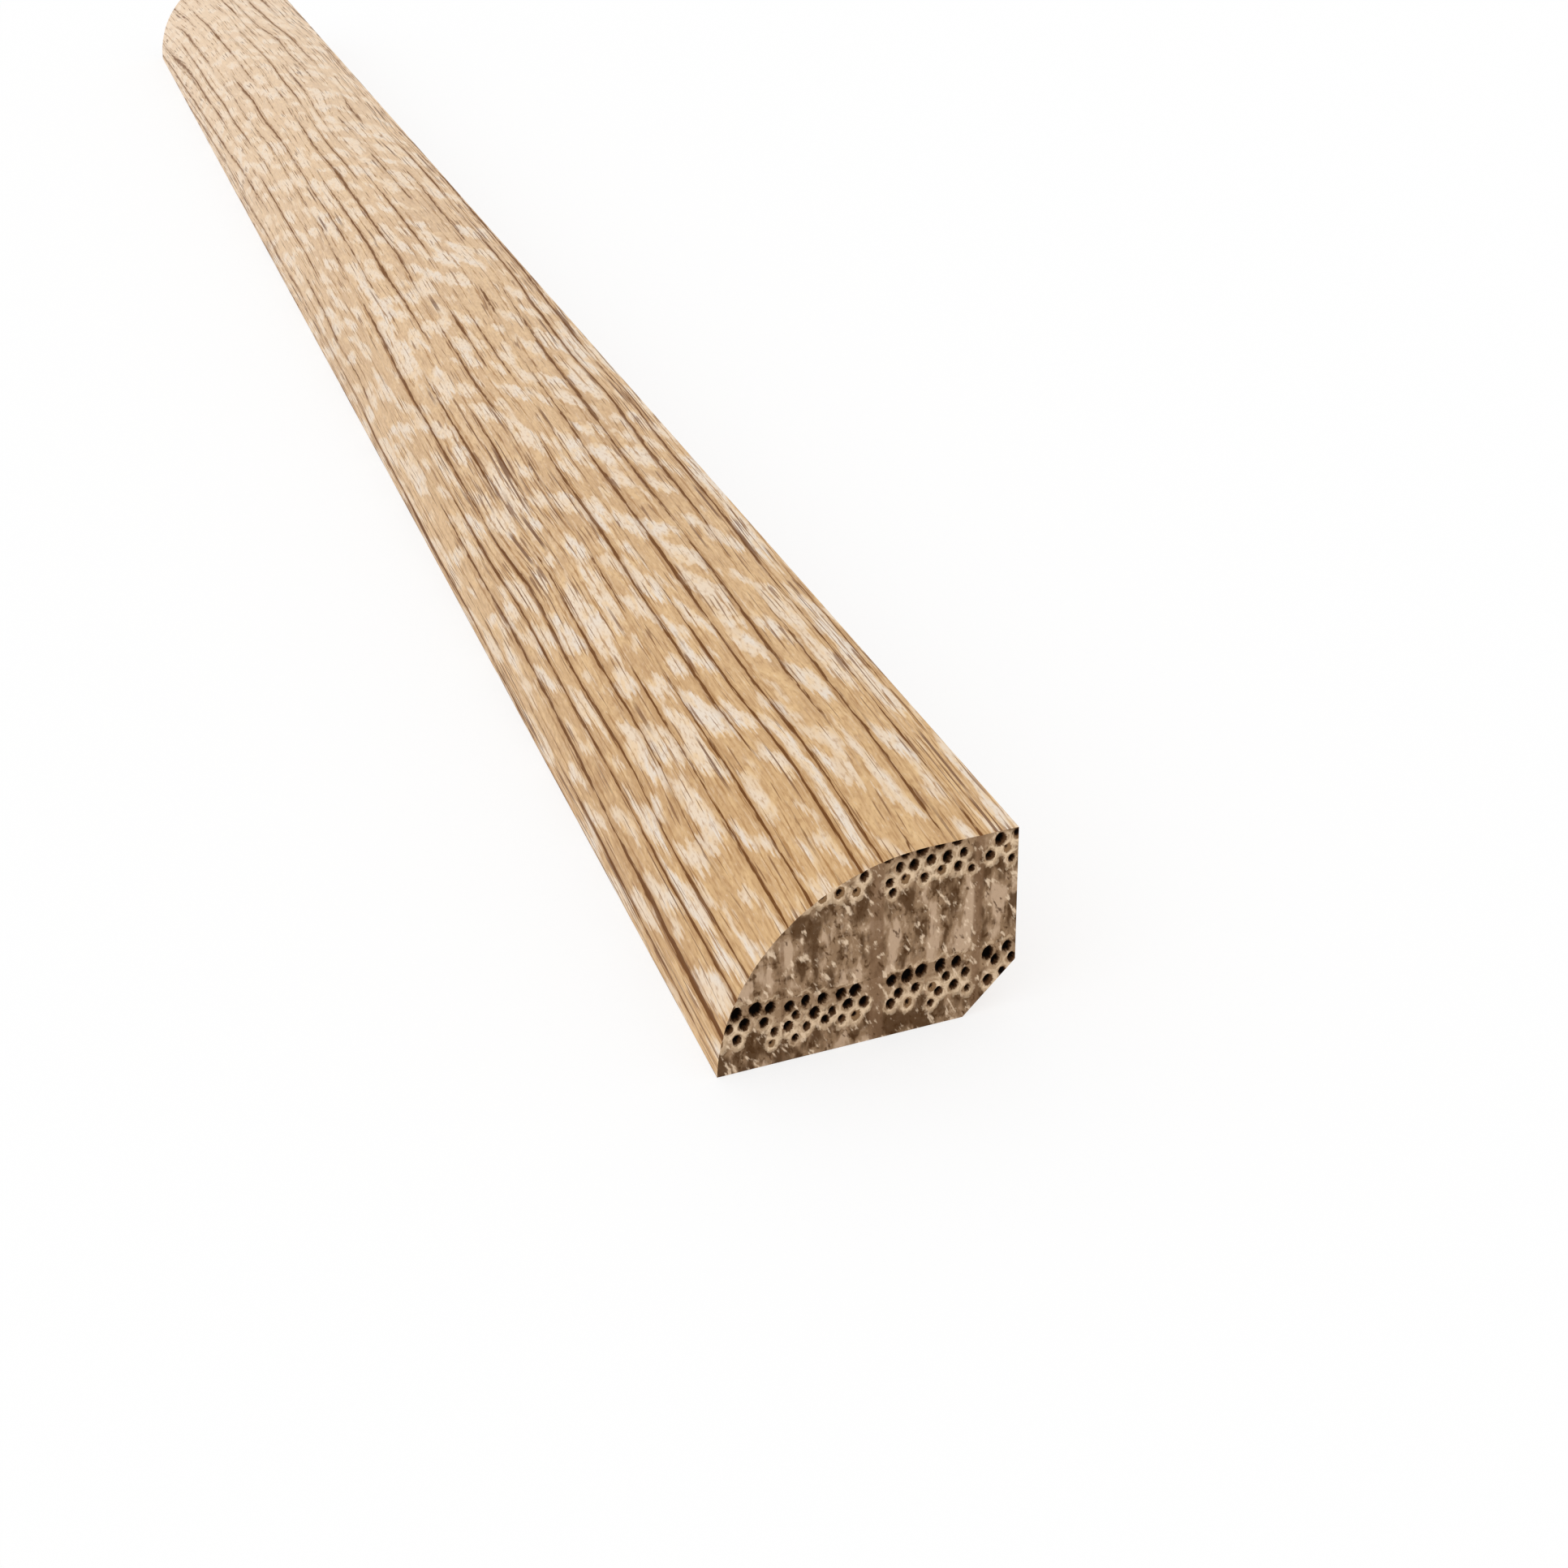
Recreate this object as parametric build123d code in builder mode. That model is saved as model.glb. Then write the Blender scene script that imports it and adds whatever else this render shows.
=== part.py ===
"""Shoe moulding: one stick of prefinished oak trim, 1/2 in by 3/4 in, cut square to one foot.

The stick lies on its wide flat with its length along Y. Its toe, where the round runs out, is at -X,
its narrow flat stands upright at +X, and the corner between the two flats is relieved at 45 degrees.
The origin is the middle of the box's underside. Sizes are millimetres.
"""

import os

from build123d import *

# Driving dimensions
LENGTH = 304.8  # end to end, 12 in
WIDTH = 19.05  # wide flat with its relief, toe to back, 3/4 in
HEIGHT = 12.7  # narrow flat with its relief, base to top, 1/2 in
TOP_FLAT = 5.45  # level strip between the back and the start of the round
RELIEF = 3.4  # leg of the 45 degree cut where the two flats would meet

# Corners of the section, across and up
toe = (-WIDTH / 2, 0)
base_back = (WIDTH / 2, 0)
top_back = (WIDTH / 2, HEIGHT)
round_start = (WIDTH / 2 - TOP_FLAT, HEIGHT)

with BuildPart() as shoe_moulding:
    with BuildSketch(Plane.XZ) as section:
        with BuildLine():
            Polyline(toe, base_back, top_back, round_start)
            # The round leaves the level strip smoothly and lands on the toe.
            TangentArc(round_start, toe, tangent=(-1, 0))
        make_face()
        relieved_corner = section.vertices().group_by(Axis.Y)[0].sort_by(Axis.X)[-1]
        chamfer(relieved_corner, length=RELIEF)
    extrude(amount=LENGTH / 2, both=True)

shoe_moulding.part.label = "shoe_moulding"

os.makedirs("parts", exist_ok=True)
export_step(shoe_moulding.part, "parts/shoe_moulding.step")
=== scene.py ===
"""Looks of a stick of oak shoe moulding: its grain as real relief, its three finishes and a pale studio.

The stick lies on its wide flat with its length along Y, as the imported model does. Its shaped face is rift
sawn oak, limed and lacquered, its two ends are bare sawn end grain, and its flats are bare planed oak.
Sizes are millimetres unless a name says otherwise, and meshes are written in metres.
"""

import logging
import math
from collections.abc import Callable
from dataclasses import dataclass, field
from enum import Enum, IntEnum
from functools import partial
from typing import Any

import bpy
import numpy as np
from mathutils import Matrix, Vector


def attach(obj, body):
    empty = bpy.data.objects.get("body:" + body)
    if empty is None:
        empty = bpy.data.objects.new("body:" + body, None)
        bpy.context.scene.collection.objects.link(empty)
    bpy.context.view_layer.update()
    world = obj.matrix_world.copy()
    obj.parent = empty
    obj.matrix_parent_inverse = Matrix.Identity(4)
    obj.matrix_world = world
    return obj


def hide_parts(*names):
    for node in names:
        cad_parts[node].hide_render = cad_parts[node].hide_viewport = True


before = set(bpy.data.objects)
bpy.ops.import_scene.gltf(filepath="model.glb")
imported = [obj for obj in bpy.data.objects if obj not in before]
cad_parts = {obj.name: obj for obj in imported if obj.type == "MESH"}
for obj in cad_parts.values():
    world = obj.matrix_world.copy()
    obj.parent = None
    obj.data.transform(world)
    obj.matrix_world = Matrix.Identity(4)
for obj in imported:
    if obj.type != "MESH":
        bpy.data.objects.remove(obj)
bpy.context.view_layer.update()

NODE = "shoe_moulding"
BODY = "root"
MM = 0.001  # metres in a millimetre
BAKE_LAYER = "OFBake"
WHITE = "#FFFFFF"
CLOSE = 0.001  # millimetres within which two corners lie on one level
SHARP_ANGLE = 36.0  # degrees between two faces, from which their edge is sharp
LANES = 5  # rows of the noise that each growth line has to itself
SMOOTH = {"interpolation_type": "SMOOTHSTEP"}

Span = tuple[float, float]  # from one value to another
Size = tuple[float, float, float]  # millimetres along three axes
Socket = bpy.types.NodeSocket
AddNode = Callable[..., Socket]

log = logging.getLogger(NODE)


class Panel(IntEnum):
    """The stick's kinds of surface, numbered as their material slots."""

    LIMED_FACE = 0
    PLANED_FLAT = 1
    SAWN_END = 2


class Field(str, Enum):
    """What each vertex carries about the wood, for the finishes to read."""

    GRAIN_PHASE = "grain_phase"  # growth lines counted from the toe
    GRAIN_LINE = "grain_line"  # how strong the nearest growth line is here
    GRAIN_TORN = "grain_torn"  # how rough the planed grain is here
    PORE_GAP = "pore_gap"  # millimetres from the rim of the nearest pore, less than 0 inside
    PORE_CORE = "pore_core"  # millimetres from that pore's dark core, less than 0 inside
    PORE_WALL = "pore_wall"  # millimetres that the next pore is further away, 0 on the wall between two
    PORE_FILL = "pore_fill"  # how far the nearest pore is filled, from open to closed
    RING_DEPTH = "ring_depth"  # millimetres below the last ring boundary
    RAY_GAP = "ray_gap"  # millimetres from the edge of the nearest ray, less than 0 inside


def linear(colour: str) -> tuple[float, float, float, float]:
    """Turns an sRGB hex colour into linear light.

    Args:
        colour: six hex digits after a hash sign.

    Returns:
        Red, green, blue and an alpha of 1.
    """
    channels = (int(colour[i:i + 2], 16) / 255 for i in (1, 3, 5))
    red, green, blue = (c / 12.92 if c <= 0.04045 else ((c + 0.055) / 1.055) ** 2.4 for c in channels)
    return red, green, blue, 1.0


def add_node(tree: bpy.types.NodeTree, kind: str, inputs: dict | None = None, output: int | str = 0,
             **settings: Any) -> Socket | None:
    """Adds one shader node with its settings and links.

    Args:
        tree: the node tree that takes it.
        kind: the node's type, without its ShaderNode prefix.
        inputs: value or incoming socket for each input, by name or index.
        output: the output to hand back, by name or index.
        settings: the node's own properties.

    Returns:
        The chosen output socket, or None for a node with no output.
    """
    node = tree.nodes.new("ShaderNode" + kind)
    for name, value in settings.items():
        setattr(node, name, value)
    for key, value in (inputs or {}).items():
        if isinstance(value, Socket):
            tree.links.new(value, node.inputs[key])
        else:
            node.inputs[key].default_value = value
    return node.outputs[output] if node.outputs else None


def smoothstep(low: float, high: float, value: np.ndarray) -> np.ndarray:
    """Rises from 0 at low to 1 at high with level ends: 3t^2 - 2t^3 of the clamped share t."""
    share = np.clip((value - low) / (high - low), 0.0, 1.0)
    return share * share * (3.0 - 2.0 * share)


@dataclass(frozen=True)
class LatticeNoise:
    """Seeded value noise on a square lattice."""

    seed: int
    cells: int = 128

    def at(self, u: np.ndarray, v: np.ndarray) -> np.ndarray:
        """Random heights at whole numbers, joined by a smooth fade in both directions.

        Args:
            u: first lattice coordinate.
            v: second lattice coordinate.

        Returns:
            Heights from 0 to 1.
        """
        table = np.random.default_rng(self.seed).random((self.cells, self.cells))
        u, v = np.broadcast_arrays(np.asarray(u, float), np.asarray(v, float))
        i, j = np.floor(u).astype(int), np.floor(v).astype(int)
        fade_u, fade_v = smoothstep(0.0, 1.0, u - i), smoothstep(0.0, 1.0, v - j)
        i, j, i_next, j_next = (k % self.cells for k in (i, j, i + 1, j + 1))
        low = table[i, j] * (1 - fade_u) + table[i_next, j] * fade_u
        high = table[i, j_next] * (1 - fade_u) + table[i_next, j_next] * fade_u
        return low * (1 - fade_v) + high * fade_v


@dataclass(frozen=True)
class Section:
    """The stick's section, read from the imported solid, with X across and Z up."""

    length: float
    width: float
    height: float
    top_flat: float
    relief: float

    @classmethod
    def of_node(cls, node: bpy.types.Object) -> "Section":
        """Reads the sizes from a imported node's corner vertices.

        Args:
            node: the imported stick.

        Returns:
            The section in millimetres.
        """
        places = np.empty(len(node.data.vertices) * 3, np.float32)
        node.data.vertices.foreach_get("co", places)
        x, y, z = (places.reshape(-1, 3).astype(float) / MM).T
        top_start = x[z > z.max() - CLOSE].min()
        relief_head = z[x > x.max() - CLOSE].min()
        return cls(np.ptp(y), np.ptp(x), np.ptp(z), x.max() - top_start, relief_head)

    @property
    def back(self) -> float:
        """X of the narrow flat."""
        return self.width / 2

    @property
    def radius(self) -> float:
        """Radius of the round, which is level where the top strip starts and ends on the toe."""
        run = self.width - self.top_flat
        return (run * run + self.height * self.height) / (2 * self.height)

    @property
    def toe_angle(self) -> float:
        """Angle of the toe above the level through the round's centre."""
        return math.asin(1 - self.height / self.radius)

    @property
    def arc_length(self) -> float:
        """Length of the round from the toe to the top strip."""
        return self.radius * (math.pi / 2 - self.toe_angle)

    @property
    def face_length(self) -> float:
        """Length of the round and the top strip together."""
        return self.arc_length + self.top_flat

    def face(self, s: np.ndarray) -> tuple[np.ndarray, np.ndarray]:
        """The shaped face: a circular arc up from the toe, then a level line to the back.

        Args:
            s: distance along the face from the toe.

        Returns:
            Points and outward normals, each with X and Z last.
        """
        centre = np.array([self.back - self.top_flat, self.height - self.radius])
        angle = self.toe_angle + np.minimum(s, self.arc_length) / self.radius
        normal = np.stack([-np.cos(angle), np.sin(angle)], -1)
        point = centre + self.radius * normal
        point[..., 0] += np.maximum(s - self.arc_length, 0.0)
        return point, normal

    def inset(self, x: np.ndarray, z: np.ndarray) -> np.ndarray:
        """Depth inside the outline: the least distance to the round and to each flat.

        Args:
            x: places across the section.
            z: places up the section.

        Returns:
            Depths, 0 on the outline.
        """
        centre_x, centre_z = self.back - self.top_flat, self.height - self.radius
        to_round = np.where(x < centre_x, self.radius - np.hypot(x - centre_x, z - centre_z), np.inf)
        to_relief = (self.back - self.relief - x + z) / math.sqrt(2.0)
        return np.minimum.reduce([to_round, self.height - z, self.back - x, to_relief, z])

    def flats(self) -> list[tuple[np.ndarray, np.ndarray]]:
        """The back, the relief and the base, each from its first corner to its last, round to the toe."""
        turns = np.array([[self.back, self.height], [self.back, self.relief],
                          [self.back - self.relief, 0.0], [-self.back, 0.0]])
        return list(zip(turns[:-1], turns[1:]))


@dataclass(frozen=True)
class Wave:
    """A slow sway of the growth lines."""

    height: float
    along: float
    across: float
    start: float  # in the noise, so that two waves differ

    def over(self, noise: LatticeNoise, s: np.ndarray, y: np.ndarray) -> np.ndarray:
        """The noise about 0 at the wave's sizes, times its height."""
        return self.height * (noise.at(y / self.along + self.start, s / self.across) - 0.5)


@dataclass(frozen=True)
class Fade:
    """How the strength of a growth line comes and goes along it."""

    along: float
    slip: float  # in the noise, from one line to the next
    lane: int  # of the rows of noise that the line has to itself

    def over(self, noise: LatticeNoise, line: np.ndarray, y: np.ndarray) -> np.ndarray:
        """The noise in the line's lane, at the fade's size along the stick."""
        return noise.at(line * LANES + self.lane, y / self.along + line * self.slip)


@dataclass(frozen=True)
class GrainFigure:
    """Growth lines of rift sawn oak where they surface on the shaped face."""

    pitch: float = 1.75  # between growth lines
    bow: float = 2.5  # sagitta of the grain over the whole length
    waves: tuple[Wave, ...] = (Wave(1.2, 46.0, 9.0, 3.0), Wave(0.5, 13.0, 4.0, 40.0))
    spread: float = 0.42  # uneven spacing, in lines
    spread_size: float = 2.6  # across the face
    spread_start: Span = (7.0, 90.0)  # in the noise
    first_line: float = 2.0  # the count at the toe, before bow and waves
    slow: Fade = Fade(24.0, 0.37, 0)
    slow_share: float = 0.7
    quick: Fade = Fade(7.0, 0.61, 2)
    quick_share: float = 0.3
    line_seen: Span = (0.18, 0.8)  # sum of the two fades, from no line to a full one
    stroke: Fade = Fade(9.0, 0.83, 3)
    stroke_seen: Span = (0.7, 0.95)  # its fade, from none to the boldest
    stroke_share: float = 0.5  # that a line's boldest strokes are stronger
    groove_depth: float = 0.045
    groove_width: float = 0.17
    edge_margin: float = 0.5  # grooves fade out this close to the long edges
    torn_middle: Span = (10.5, 66.0)  # of the torn patch, from the toe and from the near end
    torn_reach: Span = (7.0, 36.0)
    torn_fade: Span = (1.0, 0.2)  # shares of that reach, from smooth to rough
    rough_edge: float = 4.0  # reach of the rougher grain along the toe and the back
    rough_share: float = 0.85
    seed: int = 41

    def phase(self, s: np.ndarray, y: np.ndarray, length: float) -> np.ndarray:
        """Lines counted across the face: distance over pitch, with uneven spacing, a bow and slow waves.

        Args:
            s: distance along the face from the toe.
            y: distance along the stick from its near end.
            length: the stick's length.

        Returns:
            The line count, whole on each line.
        """
        noise = LatticeNoise(self.seed)
        bow = self.bow * (1 - (2 * y / length - 1) ** 2)
        waves = sum(wave.over(noise, s, y) for wave in self.waves)
        start, lane = self.spread_start
        uneven = 2 * self.spread * (noise.at(s / self.spread_size + start, lane) - 0.5)
        return (s - bow - waves) / self.pitch + uneven + self.first_line

    def strength(self, phase: np.ndarray, y: np.ndarray) -> np.ndarray:
        """How dark each line is: every line fades in and out along its length, with a few bolder strokes.

        Args:
            phase: line count from phase().
            y: distance along the stick from its near end.

        Returns:
            Strengths from 0 to 1, and above 1 in a bold stroke.
        """
        line = np.round(phase)
        noise = LatticeNoise(self.seed + 1)
        slow, quick, stroke = (fade.over(noise, line, y) for fade in (self.slow, self.quick, self.stroke))
        bold = self.stroke_share * smoothstep(*self.stroke_seen, stroke)
        return smoothstep(*self.line_seen, self.slow_share * slow + self.quick_share * quick) * (1 + bold)

    def groove(self, phase: np.ndarray, strength: np.ndarray, s: np.ndarray,
               face_length: float) -> np.ndarray:
        """Depth of the open grain: a bell curve across each line, as deep as the line is strong.

        Args:
            phase: line count from phase().
            strength: line strength from strength().
            s: distance along the face from the toe.
            face_length: the face's length along s.

        Returns:
            Depths below the face.
        """
        gap = np.abs(phase - np.round(phase)) * self.pitch
        inside = smoothstep(0.0, self.edge_margin, s) * smoothstep(0.0, self.edge_margin, face_length - s)
        return self.groove_depth * strength * np.exp(-(gap / self.groove_width) ** 2) * inside

    def torn(self, s: np.ndarray, y: np.ndarray, face_length: float) -> np.ndarray:
        """How rough the planed grain is: a soft oval patch, and a little less along both long edges.

        Args:
            s: distance along the face from the toe.
            y: distance along the stick from its near end.
            face_length: the face's length along s.

        Returns:
            Roughness from 0 to 1.
        """
        (middle_s, middle_y), (reach_s, reach_y) = self.torn_middle, self.torn_reach
        patch = smoothstep(*self.torn_fade, np.hypot((s - middle_s) / reach_s, (y - middle_y) / reach_y))
        edges = self.rough_share * smoothstep(self.rough_edge, 0.0, np.minimum(s, face_length - s))
        return np.maximum(patch, edges)


@dataclass(frozen=True)
class PoreRow:
    """One row of vessels under a ring boundary."""

    drop: float  # below the ring boundary
    pitch: float
    radius: float
    kept: float  # share of the places that hold a pore
    filled: float  # share of the pores that are closed by growth
    scatter: float  # spread of their heights
    lean: float  # most that a vessel leans, so that its lower wall shows, from 0 to 1


@dataclass(frozen=True)
class EndGrain:
    """Ring-porous end grain: rows of open vessels under each ring boundary, crossed by rays."""

    seed: int
    ring_pitch: float = 8.7
    first_ring: float = 13.15  # height of the upper ring boundary at its lowest
    ring_sag: float = 0.006  # curvature of the rings, per mm
    ring_middle: float = -0.8  # X where a ring is lowest
    rays: tuple[Span, ...] = ((-5.4, 0.04), (0.45, 0.40), (6.85, 0.24))  # X and half width
    ray_lean: float = 0.02
    ray_margin: float = 0.22  # from a ray's edge to the nearest pore's middle
    place_jitter: Span = (0.22, 0.46)  # of a row's pitch
    size_jitter: Span = (0.8, 1.12)  # of a row's radius
    fillings: Span = (0.5, 1.0)  # of a closed pore
    narrowing: Span = (0.66, 0.84)  # a pore's width over its height
    leaning: Span = (0.3, 1.0)  # of the row's lean
    pit_depth: float = 0.4
    bank_edge: Span = (0.02, -0.12)  # distances from the rim
    shaft_edge: Span = (0.05, -0.14)  # distances from the core
    pit_margin: float = 0.25  # the pits run out this close to the section's outline
    pore_skew: float = 0.12  # lean of the ovals on the section, across for each mm up
    core_shift: float = 0.42  # of a leaning pore's half size
    core_shrink: float = 0.26  # of a leaning pore's size
    core_fill: float = 0.4  # of a closed pore's size
    bank_share: float = 0.3  # of the depth that lies between rim and core
    fill_share: float = 0.75  # of the depth that growth takes from a closed pore
    rows: tuple[PoreRow, ...] = (
        PoreRow(0.55, 1.06, 0.46, 0.98, 0.00, 0.06, 0.20),
        PoreRow(1.52, 1.06, 0.41, 0.96, 0.10, 0.12, 0.65),
        PoreRow(2.36, 1.06, 0.37, 0.88, 0.30, 0.16, 0.85),
        PoreRow(3.08, 1.25, 0.29, 0.45, 0.50, 0.18, 0.80),
    )

    def boundary(self, x: np.ndarray) -> np.ndarray:
        """Height of the upper ring boundary: a shallow parabola, lowest at ring_middle."""
        return self.first_ring + self.ring_sag * (x - self.ring_middle) ** 2

    def ring_depth(self, x: np.ndarray, z: np.ndarray) -> np.ndarray:
        """Depth below the last ring boundary, repeated at the ring pitch."""
        return np.mod(self.boundary(x) - z, self.ring_pitch)

    def ray_gap(self, x: np.ndarray, z: np.ndarray) -> np.ndarray:
        """Distance to the nearest ray's edge: the least distance to a leaning line, less its half width."""
        middles, halves = np.array(self.rays).T
        return (np.abs((x - self.ray_lean * z)[..., None] - middles) - halves).min(-1)

    def pores(self, section: Section) -> np.ndarray:
        """Draws the vessels: jittered places along each row, none on a ray, oval and smaller down the rows.

        Args:
            section: the stick's section.

        Returns:
            One line a pore: X, Z, half width, half height, filling and lean.
        """
        draw = np.random.default_rng(self.seed)
        rings = math.ceil(section.height / self.ring_pitch)
        found = []
        for ring in range(rings):
            for index, row in enumerate(self.rows):
                count = int(section.width / row.pitch) + 1
                stagger = 0.5 * (index % 2)
                steps = np.arange(count) + stagger + draw.uniform(*self.place_jitter, count)
                x = -section.back + steps * row.pitch
                level = self.boundary(x) - ring * self.ring_pitch - row.drop
                z = level + draw.normal(0.0, row.scatter, count)
                size = row.radius * draw.uniform(*self.size_jitter, count)
                keep = (draw.random(count) < row.kept) & (self.ray_gap(x, z) > self.ray_margin)
                closed = draw.random(count) < row.filled
                filled = np.where(closed, draw.uniform(*self.fillings, count), 0.0)
                narrow = draw.uniform(*self.narrowing, count)
                lean = row.lean * draw.uniform(*self.leaning, count)
                found.append(np.stack([x, z, size * narrow, size, filled, lean], -1)[keep])
        return np.concatenate(found)

    def pore_fields(self, x: np.ndarray, z: np.ndarray, section: Section) -> dict[Field, np.ndarray]:
        """Distances to the nearest pore: an oval's scaled radius less one, times its half width.

        Its dark core is a smaller oval, shifted up and to the toe as the vessel leans. The wall between two
        pores is where the second nearest rim is as far as the nearest.

        Args:
            x: places across the section.
            z: places up the section.
            section: the stick's section.

        Returns:
            Distances to the rim, the core and the wall, and the pore's filling.
        """
        pores = self.pores(section)
        pore_x, pore_z, wide, tall = pores.T[:4]
        skew = self.pore_skew * (z[..., None] - pore_z)
        gap = (np.hypot((x[..., None] - pore_x - skew) / wide, (z[..., None] - pore_z) / tall) - 1) * wide
        nearest, second = np.moveaxis(np.partition(gap, 1, -1)[..., :2], -1, 0)
        pore_x, pore_z, wide, tall, filled, lean = np.moveaxis(pores[gap.argmin(-1)], -1, 0)
        small = 1 - self.core_shrink * lean - self.core_fill * filled
        core_x, core_z = pore_x - self.core_shift * lean * wide, pore_z + self.core_shift * lean * tall
        skew = self.pore_skew * (z - core_z)
        core = (np.hypot((x - core_x - skew) / wide, (z - core_z) / tall) - small) * wide
        return {Field.PORE_GAP: nearest, Field.PORE_CORE: core, Field.PORE_WALL: second - nearest,
                Field.PORE_FILL: filled}

    def pit(self, fields: dict[Field, np.ndarray], inset: np.ndarray) -> np.ndarray:
        """Depth of the open vessels: a short bank inside each rim, then a smooth wall down to the core.

        Args:
            fields: the distances from pore_fields().
            inset: distance inside the section's outline, where the pits run out.

        Returns:
            Depths behind the sawn surface.
        """
        bank = self.bank_share * smoothstep(*self.bank_edge, fields[Field.PORE_GAP])
        shaft = (1 - self.bank_share) * smoothstep(*self.shaft_edge, fields[Field.PORE_CORE])
        open_share = 1 - self.fill_share * fields[Field.PORE_FILL]
        return self.pit_depth * open_share * (bank + shaft) * smoothstep(0.0, self.pit_margin, inset)


@dataclass
class BakeMap:
    """Layout of the stick's surfaces on one square map, in rows from the bottom up."""

    side: float = 1024.0  # map pixels
    margin: float = 4.0
    used: float = 0.0  # height taken by the rows so far

    def row(self, tall: float, scale: float) -> float:
        """Takes the next row and gives its lower edge in pixels."""
        low = self.used + self.margin
        self.used = low + tall * scale
        return low

    def place(self, along: np.ndarray, up: np.ndarray, scale: float, left: float, low: float) -> np.ndarray:
        """Scales millimetres to pixels from a row's lower left corner, as shares of the map's side."""
        along, up = np.broadcast_arrays(along, up)
        return np.stack([self.margin + left + along * scale, low + up * scale], -1) / self.side


@dataclass
class Facets:
    """Faces of one mesh as they are gathered: corner numbers, map places and panels."""

    corners: list[np.ndarray] = field(default_factory=list)
    places: list[np.ndarray] = field(default_factory=list)
    sides: list[np.ndarray] = field(default_factory=list)
    panels: list[np.ndarray] = field(default_factory=list)

    def add(self, faces: np.ndarray, places: np.ndarray, panel: Panel) -> None:
        """Adds faces with the same number of corners.

        Args:
            faces: corner numbers, one line a face.
            places: map places of those corners.
            panel: the surface that the faces belong to.
        """
        count, sides = faces.shape
        self.corners.append(faces.reshape(-1))
        self.places.append(places.reshape(-1, 2))
        self.sides.append(np.full(count, sides))
        self.panels.append(np.full(count, panel.value))

    def add_grid(self, numbers: np.ndarray, places: np.ndarray, panel: Panel) -> None:
        """Adds every cell of a grid, first to the next column and then to the next row.

        Args:
            numbers: vertex numbers in rows and columns.
            places: their map places.
            panel: the surface that the cells belong to.
        """
        low, high = slice(None, -1), slice(1, None)
        turn = ((low, low), (low, high), (high, high), (high, low))
        faces = np.stack([numbers[c] for c in turn], -1).reshape(-1, 4)
        self.add(faces, np.stack([places[c] for c in turn], -2).reshape(-1, 4, 2), panel)

    def mesh(self, name: str, vertices: np.ndarray, fields: dict[Field, np.ndarray]) -> bpy.types.Mesh:
        """Writes the gathered faces as one mesh.

        Args:
            name: the mesh's name.
            vertices: places in millimetres.
            fields: one value a vertex for each field of the wood.

        Returns:
            The mesh, smooth but for its sharp edges.
        """
        sides = np.concatenate(self.sides)
        made = bpy.data.meshes.new(name)
        made.vertices.add(len(vertices))
        made.vertices.foreach_set("co", (vertices * MM).astype(np.float32).ravel())
        made.loops.add(int(sides.sum()))
        made.loops.foreach_set("vertex_index", np.concatenate(self.corners).astype(np.int32))
        made.polygons.add(len(sides))
        made.polygons.foreach_set("loop_start", (np.cumsum(sides) - sides).astype(np.int32))
        made.polygons.foreach_set("material_index", np.concatenate(self.panels).astype(np.int32))
        made.update(calc_edges=True)
        chart = made.uv_layers.new(name=BAKE_LAYER)
        chart.uv.foreach_set("vector", np.concatenate(self.places).astype(np.float32).ravel())
        for key, values in fields.items():
            layer = made.attributes.new(key.value, "FLOAT", "POINT")
            layer.data.foreach_set("value", values.astype(np.float32))
        made.validate()
        made.shade_smooth()
        made.set_sharp_from_angle(angle=math.radians(SHARP_ANGLE))
        return made


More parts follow.
